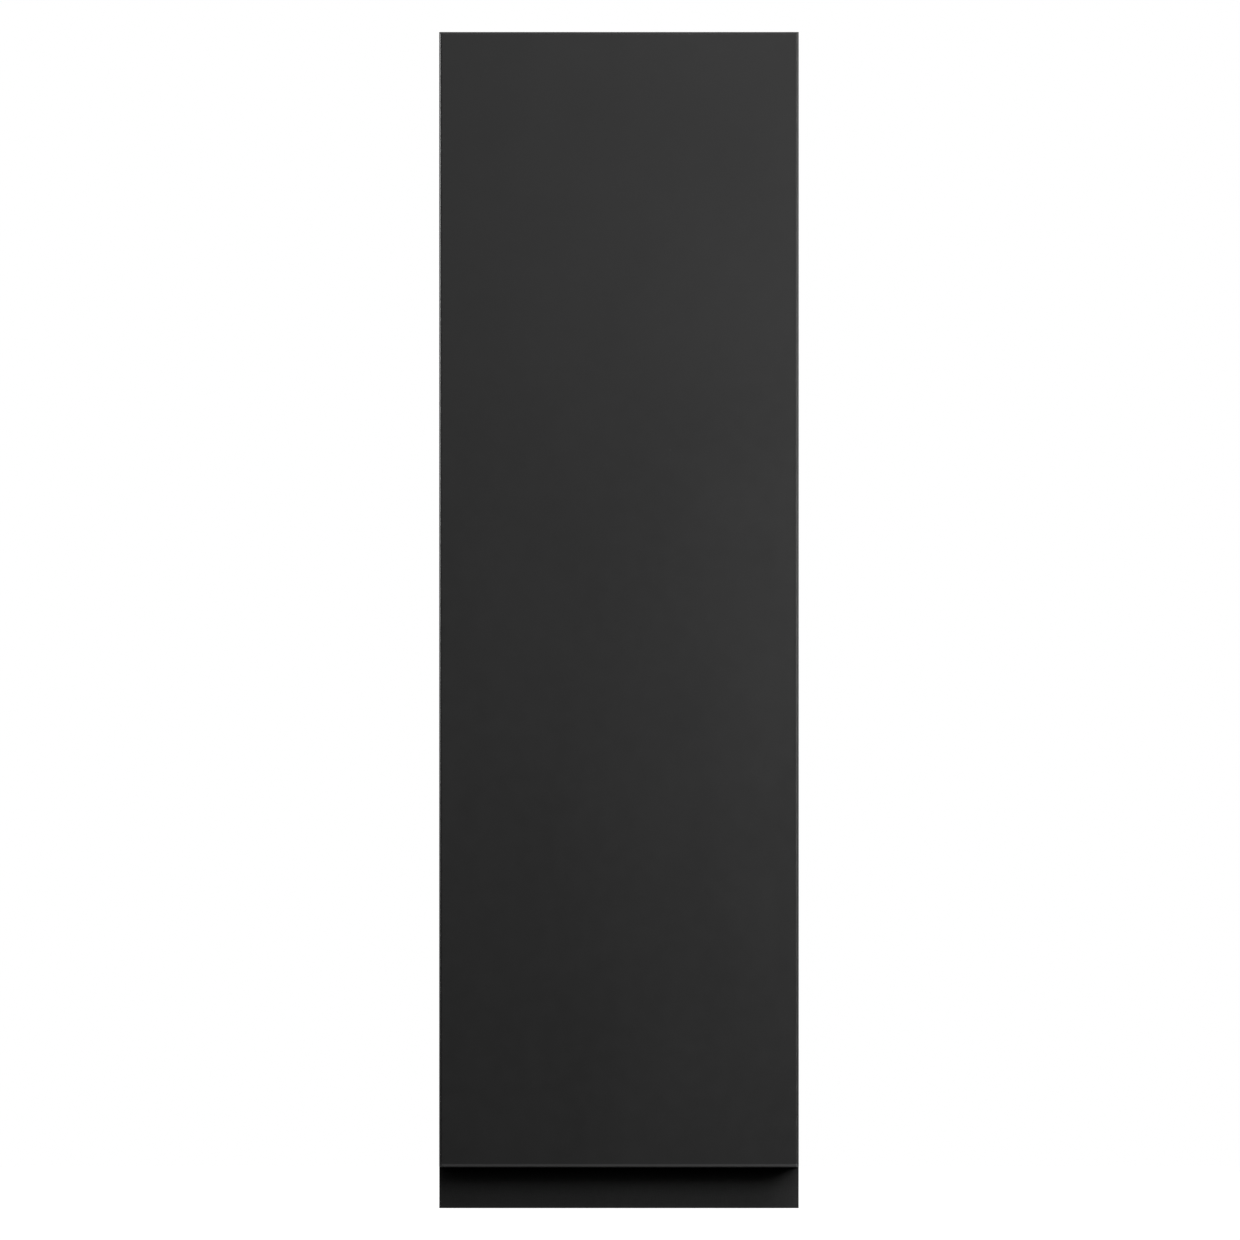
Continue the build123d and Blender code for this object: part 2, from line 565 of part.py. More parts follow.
def hinge_arm(z):
    """The knuckle and cranked neck, and the channel that clips over the plate."""
    neck_x = PIVOT_X + NECK_REACH
    with BuildPart() as arm:
        with BuildSketch(Plane.XY.offset(z - KNUCKLE_HALF)):
            with BuildLine():
                FilletPolyline(
                    (PIVOT_X, PIVOT_Y),
                    (neck_x, PIVOT_Y),
                    (neck_x, ARM_FRONT + ARM_STEEL / 2),
                    radius=NECK_BEND,
                )
            trace(line_width=NECK_STEEL)
            with Locations((PIVOT_X, PIVOT_Y)):
                Circle(KNUCKLE_RADIUS)
                Circle(PIVOT_PIN + FIT, mode=Mode.SUBTRACT)
        extrude(amount=2 * KNUCKLE_HALF)
        slab((ARM_LOW, ARM_FRONT, z - ARM_HALF), (ARM_HIGH, ARM_BACK, z + ARM_HALF))
        fillet(arm.faces().sort_by(Axis.X)[-1].edges().filter_by(Axis.Y), ARM_ROUND)
        inner = ARM_HALF - ARM_STEEL
        slab(
            (ARM_LOW, ARM_FRONT + ARM_STEEL, z - inner),
            (ARM_HIGH - ARM_STEEL, ARM_BACK, z + inner),
            mode=Mode.SUBTRACT,
        )
        drill(adjuster_places(z), ADJUSTER_HOLE, 2 * ARM_STEEL)
    return arm.part


def adjuster_places(z):
    """Where the two adjusting screws of the hinge at one height sit, on the arm."""
    return [facing(ARM_HIGH, y, z, (1, 0, 0)) for y in ADJUSTER_Y]


def hinge_plate(z):
    """A cross-shaped mounting plate with a raised rail that the arm clips over."""
    rail_front, rail_back = PLATE_RAIL_Y
    with BuildPart() as plate:
        with BuildSketch(inner_wall(LEFT, PIN_ROW_FRONT, z)):
            SlotOverall(*PLATE_WING, rotation=90)
        with BuildSketch(inner_wall(LEFT, (rail_front + rail_back) / 2, z)):
            RectangleRounded(*PLATE_BODY, PLATE_BODY_ROUND)
        extrude(amount=PLATE_STEEL)
        slab(
            (-INSIDE, rail_front, z - PLATE_RAIL_HALF),
            (-INSIDE + PLATE_RAIL, rail_back, z + PLATE_RAIL_HALF),
        )
        fillet(plate.faces().sort_by(Axis.X)[-1].edges(), PLATE_RAIL_ROUND)
        drill(adjuster_places(z), ADJUSTER_RADIUS + FIT, ADJUSTER_LENGTH + SPARE)
        countersink(hinge_plate_screws(z), PLATE_SCREW)
    return plate.part


def hinge_pin(z):
    """The pivot pin, headless, held in the cup's bosses."""
    with BuildPart() as pin:
        with Locations((PIVOT_X, PIVOT_Y, z)):
            Cylinder(PIVOT_PIN, PIVOT_PIN_LENGTH)
    return pin.part


for number, z in enumerate(HINGE_Z, 1):
    save(hinge_cup(z), f"hinge_cup_{number}")
    save(hinge_pin(z), f"hinge_pin_{number}")
    save(hinge_arm(z), f"hinge_arm_{number}")
    save(hinge_plate(z), f"hinge_plate_{number}")

cross_long, cross_wide, cross_deep = ADJUSTER_CROSS
with BuildPart() as hinge_adjusters:
    places = [place for z in HINGE_Z for place in adjuster_places(z)]
    with Locations(*places):
        Cylinder(ADJUSTER_RADIUS, ADJUSTER_LENGTH, align=SUNK)
        Cylinder(ADJUSTER_HEAD_RADIUS, ADJUSTER_HEAD, align=PROUD)
    with Locations(*[place.offset(ADJUSTER_HEAD) for place in places]):
        Box(cross_long, cross_wide, cross_deep, align=SUNK, mode=Mode.SUBTRACT)
        Box(cross_wide, cross_long, cross_deep, align=SUNK, mode=Mode.SUBTRACT)
save(hinge_adjusters.part, "hinge_adjusters")
screws = screw_group([place for z in HINGE_Z for place in hinge_plate_screws(z)], PLATE_SCREW)
save(screws, "hinge_plate_screws")
screws = screw_group([place for z in HINGE_Z for place in cup_screws(z)], CUP_SCREW)
save(screws, "hinge_cup_screws")


# Push latches: a cartridge in the carcass edge, its plunger, and a steel strike on the door
for word, z in LATCH_Z.items():
    mouth = facing(LATCH_X, CARCASS_FRONT, z, (0, -1, 0))
    with BuildPart() as latch_housing:
        with Locations(mouth):
            Cylinder(LATCH_RADIUS, LATCH_LENGTH, align=SUNK)
            Cylinder(LATCH_COLLAR_RADIUS, LATCH_COLLAR, align=PROUD)
        drill([mouth.offset(LATCH_COLLAR)], PLUNGER_RADIUS + FIT, LATCH_LENGTH - LATCH_FLOOR)
    save(latch_housing.part, f"latch_housing_{word}")

    with BuildPart() as latch_plunger:
        with Locations(mouth.offset(LATCH_COLLAR + PLUNGER_GAP)):
            Cylinder(PLUNGER_RADIUS, PLUNGER_LENGTH, align=SUNK)
            Cylinder(TIP_RADIUS, TIP_THICK, align=PROUD)
        fillet(latch_plunger.edges().sort_by(Axis.Y)[0], TIP_ROUND)
    save(latch_plunger.part, f"latch_plunger_{word}")

    with BuildPart() as strike_plate:
        with Locations(facing(LATCH_X, DOOR_BACK, z, (0, 1, 0))):
            Cylinder(STRIKE_RADIUS, STRIKE_STEEL, align=PROUD)
        fillet(strike_plate.edges().sort_by(Axis.Y)[-1], STRIKE_ROUND)
    save(strike_plate.part, f"strike_plate_{word}")


# Door
with BuildPart() as door_panel:
    slab((DOOR_LEFT, DOOR_FRONT, DOOR_LOW), (DOOR_RIGHT, DOOR_BACK, DOOR_HIGH))
    fillet(door_panel.edges().filter_by(Axis.Y), DOOR_CORNER)
    fillet(door_panel.faces().sort_by(Axis.Y)[0].edges(), DOOR_ROUND)
    fillet(door_panel.faces().sort_by(Axis.Y)[-1].edges(), BOARD_ROUND)
    drill([facing(CUP_X, DOOR_BACK, z, (0, 1, 0)) for z in HINGE_Z], CUP_BORE, CUP_DEPTH + 2 * FIT)
    screws = [place for z in HINGE_Z for place in cup_screws(z)]
    countersink(screws, CUP_SCREW)
    drill_for(screws, CUP_SCREW)
save(door_panel.part, "door_panel")

with BuildPart() as door_bumpers:
    with Locations(*[facing(LATCH_X, DOOR_BACK, z, (0, 1, 0)) for z in BUMPER_Z]):
        Cylinder(BUMPER_RADIUS, BUMPER_THICK, align=PROUD)
    fillet(door_bumpers.edges().group_by(Axis.Y)[-1], BUMPER_ROUND)
save(door_bumpers.part, "door_bumpers")
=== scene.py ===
"""Looks for the handleless wardrobe: materials, small fittings, studio and camera.

Metres, in the CAD frame: +Z up, -Y the front, +X to the right as seen by someone facing the door.
"""

import json
import math

import bmesh
import bpy
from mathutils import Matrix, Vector


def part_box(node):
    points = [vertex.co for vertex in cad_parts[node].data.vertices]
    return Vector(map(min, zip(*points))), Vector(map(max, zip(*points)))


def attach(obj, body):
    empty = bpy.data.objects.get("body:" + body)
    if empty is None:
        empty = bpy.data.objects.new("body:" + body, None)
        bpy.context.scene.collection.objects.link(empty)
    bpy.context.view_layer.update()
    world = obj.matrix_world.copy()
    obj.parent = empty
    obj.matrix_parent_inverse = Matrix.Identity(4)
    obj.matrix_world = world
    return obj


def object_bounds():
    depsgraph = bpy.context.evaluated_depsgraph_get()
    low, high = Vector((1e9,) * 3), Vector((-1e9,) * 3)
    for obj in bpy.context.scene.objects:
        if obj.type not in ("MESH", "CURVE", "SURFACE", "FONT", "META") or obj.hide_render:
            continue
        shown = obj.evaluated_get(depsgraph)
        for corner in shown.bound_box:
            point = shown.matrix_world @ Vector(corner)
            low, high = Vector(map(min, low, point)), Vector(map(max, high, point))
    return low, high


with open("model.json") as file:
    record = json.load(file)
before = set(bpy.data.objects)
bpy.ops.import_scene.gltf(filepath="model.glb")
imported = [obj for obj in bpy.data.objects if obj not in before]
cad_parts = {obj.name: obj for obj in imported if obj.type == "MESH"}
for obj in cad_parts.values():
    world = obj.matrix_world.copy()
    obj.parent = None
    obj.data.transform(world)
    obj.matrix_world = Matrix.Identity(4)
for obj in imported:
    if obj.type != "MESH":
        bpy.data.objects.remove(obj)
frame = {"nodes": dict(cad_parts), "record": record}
cad_low, cad_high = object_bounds()

MM = 0.001
X, Y, Z = range(3)


# --------------------------------------------------------------------------------------------------
# Node trees
# --------------------------------------------------------------------------------------------------
NOISE_SPAN = (0.3, 0.7)  # where nearly all of a noise texture's values lie

# Socket numbers of the Mix node, whose socket names repeat
MIX_SHARE = 0
MIX_NUMBER_A, MIX_NUMBER_B, MIX_NUMBER_OUT = 2, 3, 0
MIX_COLOUR_A, MIX_COLOUR_B, MIX_COLOUR_OUT = 6, 7, 2


class Look:
    """One material's nodes. Each value is a number, a tuple or the output socket of another node."""

    def __init__(self, name):
        self.material = bpy.data.materials.new(name)
        self.material.use_nodes = True
        self.tree = self.material.node_tree
        self.tree.nodes.clear()
        coordinates = self.tree.nodes.new("ShaderNodeTexCoord")
        self.place = coordinates.outputs["Object"]
        self.facing = coordinates.outputs["Normal"]

    def node(self, kind, inputs, output=0, **settings):
        """Makes a node with its inputs set or linked, and returns one of its outputs."""
        made = self.tree.nodes.new(kind)
        for name, value in settings.items():
            setattr(made, name, value)
        for key, value in inputs.items():
            socket = made.inputs[key]
            if isinstance(value, bpy.types.NodeSocket):
                self.tree.links.new(value, socket)
            else:
                socket.default_value = value
        return made.outputs[output]

    def math(self, operation, a, b=0.0):
        return self.node("ShaderNodeMath", {0: a, 1: b}, operation=operation)

    def vector(self, operation, a, b=(0, 0, 0)):
        return self.node("ShaderNodeVectorMath", {0: a, 1: b}, operation=operation)

    def times(self, a, b):
        return self.math("MULTIPLY", a, b)

    def add(self, first, *others):
        total = first
        for value in others:
            total = self.math("ADD", total, value)
        return total

    def axis(self, value, axis):
        return self.node("ShaderNodeSeparateXYZ", {0: value}, axis)

    def ramp(self, value, low, high, to=(0.0, 1.0)):
        """value mapped smoothly from low..high to another span, and clamped."""
        inputs = {"Value": value, "From Min": low, "From Max": high, "To Min": to[0], "To Max": to[1]}
        return self.node("ShaderNodeMapRange", inputs, interpolation_type="SMOOTHSTEP")

    def vary(self, noise, at_low, at_high):
        """A noise's usual values mapped smoothly to at_low..at_high."""
        return self.ramp(noise, *NOISE_SPAN, to=(at_low, at_high))

    def stretch(self, scale):
        """Object coordinates scaled by one number for each axis."""
        return self.vector("MULTIPLY", self.place, scale)

    def noise(self, per_metre, detail=2.0, rough=0.5, place=None, distortion=0.0):
        inputs = {
            "Vector": place or self.place,
            "Scale": per_metre,
            "Detail": detail,
            "Roughness": rough,
            "Distortion": distortion,
        }
        return self.node("ShaderNodeTexNoise", inputs)

    def fibres(self, per_metre, detail, rough, distortion=0.0):
        """Noise with its own number of repeats per metre along each axis."""
        return self.noise(1, detail, rough, self.stretch(per_metre), distortion)

    def cells(self, per_metre, output="Distance"):
        return self.node("ShaderNodeTexVoronoi", {"Vector": self.place, "Scale": per_metre}, output)

    def mix(self, share, a, b):
        """Colour a where share is 0 and b where it is 1."""
        inputs = {MIX_SHARE: share, MIX_COLOUR_A: a, MIX_COLOUR_B: b}
        return self.node("ShaderNodeMix", inputs, MIX_COLOUR_OUT, data_type="RGBA")

    def blend(self, share, a, b):
        """Number a where share is 0 and b where it is 1."""
        inputs = {MIX_SHARE: share, MIX_NUMBER_A: a, MIX_NUMBER_B: b}
        return self.node("ShaderNodeMix", inputs, MIX_NUMBER_OUT, data_type="FLOAT")

    def tint(self, colour, factor):
        """A colour times a number."""
        inputs = {MIX_SHARE: 1.0, MIX_COLOUR_A: colour, MIX_COLOUR_B: factor}
        return self.node("ShaderNodeMix", inputs, MIX_COLOUR_OUT, data_type="RGBA", blend_type="MULTIPLY")

    def relief(self, height, depth):
        """A bump normal. height runs from 0 to 1 over depth metres."""
        return self.node("ShaderNodeBump", {"Height": height, "Distance": depth, "Strength": 1.0})

    def finish(self, **inputs):
        """Ends the tree in a Principled shader. Keywords are socket names with _ for a space."""
        named = {key.replace("_", " "): value for key, value in inputs.items()}
        surface = self.node("ShaderNodeBsdfPrincipled", named)
        out = self.tree.nodes.new("ShaderNodeOutputMaterial")
        self.tree.links.new(surface, out.inputs["Surface"])
        return self.material


# --------------------------------------------------------------------------------------------------
# Colours, linear
# --------------------------------------------------------------------------------------------------
def grey(level, warmth=0.0):
    """An almost neutral colour."""
    return (level * (1 + warmth), level, level * (1 - warmth), 1.0)


LACQUER = grey(0.0185)
LACQUER_RUBBED = grey(0.036)
# A painted highlight along the door's bottom edge: paler at the very bottom, darker a little higher up.
BOTTOM_HIGHLIGHT_LOW, BOTTOM_HIGHLIGHT_HIGH = grey(0.075), grey(0.044)
DUST = grey(0.12, 0.03)
MDF_DARK, MDF_PALE = (0.2, 0.125, 0.07, 1), (0.33, 0.22, 0.13, 1)

DECOR_LEVEL = 0.026
PLINTH_LEVEL = 0.0185
RUBBED_DECOR = 2.2  # times as bright as the decor
INNER_DECOR = (0.46, 0.455, 0.44, 1)
SEAM_SHADOW = grey(0.004)
CHIP_BROWN, CHIP_PALE = (0.2, 0.115, 0.055, 1), (0.46, 0.31, 0.17, 1)
HARDBOARD_DARK, HARDBOARD_PALE = (0.085, 0.047, 0.025, 1), (0.2, 0.12, 0.066, 1)
BEECH_DARK, BEECH_PALE = (0.36, 0.2, 0.1, 1), (0.62, 0.42, 0.24, 1)

NICKEL = (0.68, 0.65, 0.6, 1)
STEEL = (0.58, 0.575, 0.565, 1)
CHROME = (0.83, 0.83, 0.84, 1)
CAST = (0.42, 0.425, 0.43, 1)
CLEAR = (0.9, 0.9, 0.88, 1)


# --------------------------------------------------------------------------------------------------
# Where on a board a point lies
# --------------------------------------------------------------------------------------------------
def face_depths(look, low, high):
    """For each axis, how deep a point lies under the nearer of a box's two faces."""
    centre, half = (low + high) / 2, (high - low) / 2
    away = look.vector("ABSOLUTE", look.vector("SUBTRACT", look.place, tuple(centre)))
    inside = look.vector("SUBTRACT", tuple(half), away)
    return [look.axis(inside, axis) for axis in (X, Y, Z)]


def box_depth(look, low, high):
    """How deep a point lies under the nearest face of a box."""
    x, y, z = face_depths(look, low, high)
    return look.math("MINIMUM", look.math("MINIMUM", x, y), z)


def edge_closeness(look, low, high, width):
    """1 on a box's edges, fading to 0 at width from them: the second smallest depth decides."""
    x, y, z = face_depths(look, low, high)
    larger = [look.math("MAXIMUM", a, b) for a, b in ((x, y), (y, z), (x, z))]
    second = look.math("MINIMUM", look.math("MINIMUM", larger[0], larger[1]), larger[2])
    return look.ramp(second, 0.0, width, to=(1.0, 0.0))


RUBBED_FULLY = 0.7  # the patches' noise, where the wear is strongest


def rubbed(look, low, high, width, per_metre, worn_from, strength):
    """Wear along a box's edges, in patches of noise from worn_from up."""
    patches = look.noise(per_metre=per_metre, detail=4, rough=0.65)
    patches = look.ramp(patches, worn_from, RUBBED_FULLY, to=(0.0, strength))
    return look.times(edge_closeness(look, low, high, width), patches)


CAVITY_MARGIN = 0.4 * MM
FRONT_EDGE_FACING = -0.6  # a normal's Y, below which it belongs to a front edge


def cavity(look):
    """1 on the faces that line the inside of the wardrobe, and 0 outside and on front edges."""
    right_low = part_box("side_panel_right")[0]
    wall, mouth = right_low[X], right_low[Y]
    floor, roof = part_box("bottom_panel")[1][Z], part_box("top_panel")[0][Z]
    x, y, z = (look.axis(look.place, axis) for axis in (X, Y, Z))
    inside = look.math("LESS_THAN", look.math("ABSOLUTE", x), wall + CAVITY_MARGIN)
    tests = [
        look.math("LESS_THAN", z, roof + CAVITY_MARGIN),
        look.math("GREATER_THAN", z, floor - CAVITY_MARGIN),
        look.math("GREATER_THAN", y, mouth + 2 * CAVITY_MARGIN),
        look.math("GREATER_THAN", look.axis(look.facing, Y), FRONT_EDGE_FACING),
    ]
    for test in tests:
        inside = look.times(inside, test)
    return inside


SEAM_NEAR, SEAM_FAR = 0.25 * MM, 0.55 * MM
SEAM_DARKNESS = 0.85


def seam(look, low, high):
    """The hairlines where a board's two ends butt against the side panels."""
    middle, half = (low[X] + high[X]) / 2, (high[X] - low[X]) / 2
    from_middle = look.math("ABSOLUTE", look.math("SUBTRACT", look.axis(look.place, X), middle))
    from_end = look.math("SUBTRACT", half, from_middle)
    return look.ramp(from_end, SEAM_NEAR, SEAM_FAR, to=(SEAM_DARKNESS, 0.0))


# --------------------------------------------------------------------------------------------------
# The lacquered door
# --------------------------------------------------------------------------------------------------
DUST_PER_METRE = 11
DUST_CORE, DUST_RIM = 0.004, 0.011  # a speck's radii, as shares of a cell
DUST_FREE = 0.45  # share of the cells that have no speck
DUST_STRENGTH = 0.5

LACQUER_CLOUDS = (0.95, 1.05)  # times the colour
LACQUER_MOTTLE = (-0.025, 0.025)  # added to that
LACQUER_ROUGHNESS = (0.40, 0.47)
SMEARS = (0.3, 0.75)
LACQUER_SKIN = (1.3 * MM, 1.6 * MM)  # deeper than this, a drilled hole shows the bare core
LACQUER_RELIEF = 0.022 * MM
PEEL_SHARE, GRAIN_SHARE = 0.8, 0.2  # of the relief
MDF_ROUGHNESS = 0.85

BOTTOM_HIGHLIGHT_FADE = (1.2 * MM, 3.6 * MM)  # heights over which the painted highlight grows darker
BOTTOM_HIGHLIGHT_END = (5.6 * MM, 6.6 * MM)  # heights over which it stops
FRONT_FACING = (-0.35, -0.1)  # a normal's Y: front, and no longer front


def dust(look):
    """The door's few specks of dust."""
    strength = look.axis(look.cells(DUST_PER_METRE, "Color"), X)
    strength = look.ramp(strength, DUST_FREE, 1.0, to=(0.0, DUST_STRENGTH))
    speck = look.ramp(look.cells(DUST_PER_METRE), DUST_CORE, DUST_RIM, to=(1.0, 0.0))
    return look.times(speck, strength)


def painted_bottom_highlight(look, paint, low):
    """paint with a painted highlight along the bottom of the door's front, paler towards the bottom."""
    height = look.axis(look.place, Z)
    lit_edge = look.mix(look.ramp(height, low[Z] + BOTTOM_HIGHLIGHT_FADE[0], low[Z] + BOTTOM_HIGHLIGHT_FADE[1]), BOTTOM_HIGHLIGHT_LOW, BOTTOM_HIGHLIGHT_HIGH)
    strip = look.ramp(height, low[Z] + BOTTOM_HIGHLIGHT_END[0], low[Z] + BOTTOM_HIGHLIGHT_END[1], to=(1.0, 0.0))
    front = look.ramp(look.axis(look.facing, Y), *FRONT_FACING, to=(1.0, 0.0))
    return look.mix(look.times(strip, front), paint, lit_edge)


def lacquer(name, low, high):
    """Matt anthracite lacquer on fibreboard: orange peel, faint clouding, dust and rubbed edges."""
    look = Look(name)
    cloud = look.noise(per_metre=2.3, detail=4, rough=0.55)
    mottle = look.noise(per_metre=38, detail=3)
    tone = look.add(look.vary(cloud, *LACQUER_CLOUDS), look.vary(mottle, *LACQUER_MOTTLE))
    paint = look.mix(dust(look), look.tint(LACQUER, tone), DUST)
    rub = rubbed(look, low, high, width=1.3 * MM, per_metre=55, worn_from=0.35, strength=0.4)
    paint = look.mix(rub, paint, LACQUER_RUBBED)
    # A painted highlight along the door's bottom edge, where the rounded edge would catch light from below.
    paint = painted_bottom_highlight(look, paint, low)

    core = look.ramp(box_depth(look, low, high), *LACQUER_SKIN)
    paint = look.mix(core, paint, look.mix(look.noise(per_metre=900, detail=4), MDF_DARK, MDF_PALE))

    tall = look.stretch((1, 1, 0.35))
    smear = look.noise(per_metre=7, detail=5, rough=0.6, place=tall, distortion=0.4)
    rough = look.add(look.ramp(smear, *SMEARS, to=LACQUER_ROUGHNESS), look.vary(mottle, -0.02, 0.02))
    rough = look.blend(core, rough, MDF_ROUGHNESS)

    peel = look.noise(per_metre=260, detail=2, rough=0.45)
    grain = look.noise(per_metre=1700, detail=2)
    skin = look.add(look.times(peel, PEEL_SHARE), look.times(grain, GRAIN_SHARE))
    normal = look.relief(skin, LACQUER_RELIEF)
    return look.finish(Base_Color=paint, Roughness=rough, Normal=normal, IOR=1.46)


# --------------------------------------------------------------------------------------------------
# Melamine boards and the hardboard back
# --------------------------------------------------------------------------------------------------
THREADS = 900  # per metre
THREAD_RUN = 18  # how many times as long as wide a thread's marks are
THREAD_SPAN = (0.34, 0.66)
THREAD_TONE, INNER_THREAD_TONE = (0.78, 1.22), (0.86, 1.12)  # times the colour
CLOUDS, INNER_CLOUDS = (-0.05, 0.05), (-0.03, 0.03)  # added to that

MELAMINE_ROUGHNESS = (0.54, 0.42)  # between the threads, and on them
MELAMINE_SKIN = (0.35 * MM, 0.5 * MM)  # deeper than this, a hole or groove shows the core
MELAMINE_RELIEF, CHIP_RELIEF = 0.06 * MM, 0.25 * MM
CHIP_SHARE, FINES_SHARE = 0.7, 0.3  # of the core's tone
CHIP_ROUGHNESS = 0.9
REAR_FACING = (0.7, 0.9)  # a normal's Y: not rear, and fully rear
REAR_EDGE = (1.5 * MM, 0.8 * MM)  # how far in front of the rear end it begins, and is whole

HARDBOARD_SKIN = (0.3 * MM, 0.6 * MM)  # behind its front face
HARDBOARD_MESH = 2.2 * MM
MESH_HEIGHT = 0.25  # of each wave, as a share of the relief
HARDBOARD_RELIEF = 0.09 * MM
HARDBOARD_ROUGHNESS = (0.45, 0.78)  # in front, and at the rear
FLECKS, FLECK_TONE = (0.3, 0.72), (0.8, 1.15)


def particleboard(look):
    """Colour of the raw core where a board is cut or drilled."""
    chips = look.axis(look.cells(per_metre=420, output="Color"), X)
    fines = look.noise(per_metre=1500, detail=3)
    tone = look.add(look.times(chips, CHIP_SHARE), look.times(fines, FINES_SHARE))
    return look.mix(tone, CHIP_BROWN, CHIP_PALE)


def linen(look, low, high):
    """Crossed threads in the plane of a board, from 0 to 1."""
    size = high - low
    thin = min((X, Y, Z), key=lambda axis: size[axis])
    threads = []
    for along in (X, Y, Z):
        if along == thin:
            continue
        per_metre = [THREADS] * 3
        per_metre[along] = THREADS / THREAD_RUN
        per_metre[thin] = THREADS / THREAD_RUN
        threads.append(look.fibres(per_metre, detail=3, rough=0.6))
    return look.times(look.add(*threads), 1 / len(threads))


def raw_rear_edge(look, high):
    """1 on a board's rear end face, which has no edging."""
    rear = look.ramp(look.axis(look.facing, Y), *REAR_FACING)
    edge = look.ramp(look.axis(look.place, Y), high[Y] - REAR_EDGE[0], high[Y] - REAR_EDGE[1])
    return look.times(rear, edge)


def melamine(name, low, high, level, raw_rear=True, butted=False):
    """Melamine with a linen emboss, anthracite outside and light grey inside.

    level is the brightness outside. raw_rear is whether the rear end shows the core. butted is whether
    the board's ends meet the side panels flush.
    """
    look = Look(name)
    thread = linen(look, low, high)
    cloud = look.noise(per_metre=3.1, detail=4, rough=0.55)
    tone = look.add(look.ramp(thread, *THREAD_SPAN, to=THREAD_TONE), look.vary(cloud, *CLOUDS))
    rub = rubbed(look, low, high, width=1.2 * MM, per_metre=70, worn_from=0.4, strength=0.55)
    decor = look.mix(rub, look.tint(grey(level), tone), grey(level * RUBBED_DECOR))

    inner_tone = look.ramp(thread, *THREAD_SPAN, to=INNER_THREAD_TONE)
    inner_tone = look.add(inner_tone, look.vary(cloud, *INNER_CLOUDS))
    decor = look.mix(cavity(look), decor, look.tint(INNER_DECOR, inner_tone))
    if butted:
        decor = look.mix(seam(look, low, high), decor, SEAM_SHADOW)

    core = look.ramp(box_depth(look, low, high), *MELAMINE_SKIN)
    if raw_rear:
        core = look.math("MAXIMUM", core, raw_rear_edge(look, high))
    colour = look.mix(core, decor, particleboard(look))
    rough = look.add(look.vary(thread, *MELAMINE_ROUGHNESS), look.vary(cloud, -0.03, 0.03))
    rough = look.blend(core, rough, CHIP_ROUGHNESS)
    height = look.blend(core, thread, look.noise(per_metre=650, detail=4, rough=0.6))
    normal = look.relief(height, look.blend(core, MELAMINE_RELIEF, CHIP_RELIEF))
    return look.finish(Base_Color=colour, Roughness=rough, Normal=normal, IOR=1.5)


def hardboard(name, low, high):
    """Thin fibreboard: the inner decor in front, bare brown fibre with a pressed mesh at the rear."""
    look = Look(name)
    thread = linen(look, low, high)
    decor = look.tint(INNER_DECOR, look.ramp(thread, *THREAD_SPAN, to=INNER_THREAD_TONE))
    fibre = look.fibres((420, 420, 160), detail=5, rough=0.65, distortion=0.6)
    fleck = look.fibres((90, 90, 40), detail=4, rough=0.7, distortion=0.8)
    bare = look.mix(fibre, HARDBOARD_DARK, HARDBOARD_PALE)
    bare = look.tint(bare, look.ramp(fleck, *FLECKS, to=FLECK_TONE))
    rear = look.ramp(look.axis(look.place, Y), low[Y] + HARDBOARD_SKIN[0], low[Y] + HARDBOARD_SKIN[1])
    turn = math.tau / HARDBOARD_MESH
    waves = [look.math("SINE", look.times(look.axis(look.place, axis), turn)) for axis in (X, Z)]
    mesh = look.times(look.add(*waves), MESH_HEIGHT)
    height = look.blend(rear, thread, look.add(mesh, fibre))
    return look.finish(
        Base_Color=look.mix(rear, decor, bare),
        Roughness=look.blend(rear, *HARDBOARD_ROUGHNESS),
        Normal=look.relief(height, HARDBOARD_RELIEF),
        IOR=1.45,
    )


def board_material(node):
    """The material of one board, made for that board's own box."""
    low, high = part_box(node)
    if node == "door_panel":
        return lacquer(node, low, high)
    if node == "back_panel":
        return hardboard(node, low, high)
    if node.startswith("plinth"):
        return melamine(node, low, high, PLINTH_LEVEL, raw_rear=False)
    return melamine(node, low, high, DECOR_LEVEL, butted=node in ("top_panel", "bottom_panel"))


# --------------------------------------------------------------------------------------------------
# Wood, metal and plastic
# --------------------------------------------------------------------------------------------------
BEECH_RELIEF = 0.15 * MM
EROSION_RELIEF = 0.05 * MM
RIPPLE_RELIEF = 0.02 * MM
SMUDGES = (0.42, 0.72)
SCRATCH_TONE, EROSION_TONE = (0.96, 1.02), (0.85, 1.12)  # times the colour
EROSION_ROUGHENS = 0.12
TARNISH_ROUGHENS = 0.05


def beech(name):
    """Compressed beech of a dowel, with its grain along X."""
    look = Look(name)
    grain = look.fibres((60, 900, 900), detail=5, rough=0.6)
    colour = look.mix(grain, BEECH_DARK, BEECH_PALE)
    return look.finish(Base_Color=colour, Roughness=0.6, Normal=look.relief(grain, BEECH_RELIEF))


def metal(name, colour, smooth, rough, scratches, depth, tarnish=0.04):
    """Plated or polished metal, its roughness from smooth to rough.

    scratches is how many fine ones there are per metre along each axis. depth is how deep they are.
    """
    look = Look(name)
    scratch = look.fibres(scratches, detail=4, rough=0.7)
    smudge = look.noise(per_metre=75, detail=4, rough=0.6, distortion=0.5)
    dull = look.ramp(smudge, *SMUDGES)
    tone = look.add(look.vary(scratch, *SCRATCH_TONE), look.times(dull, -tarnish))
    return look.finish(
        Base_Color=look.tint(colour, tone),
        Metallic=1.0,
        Roughness=look.add(look.vary(scratch, smooth, rough), look.times(dull, TARNISH_ROUGHENS)),
        Normal=look.relief(scratch, depth),
    )


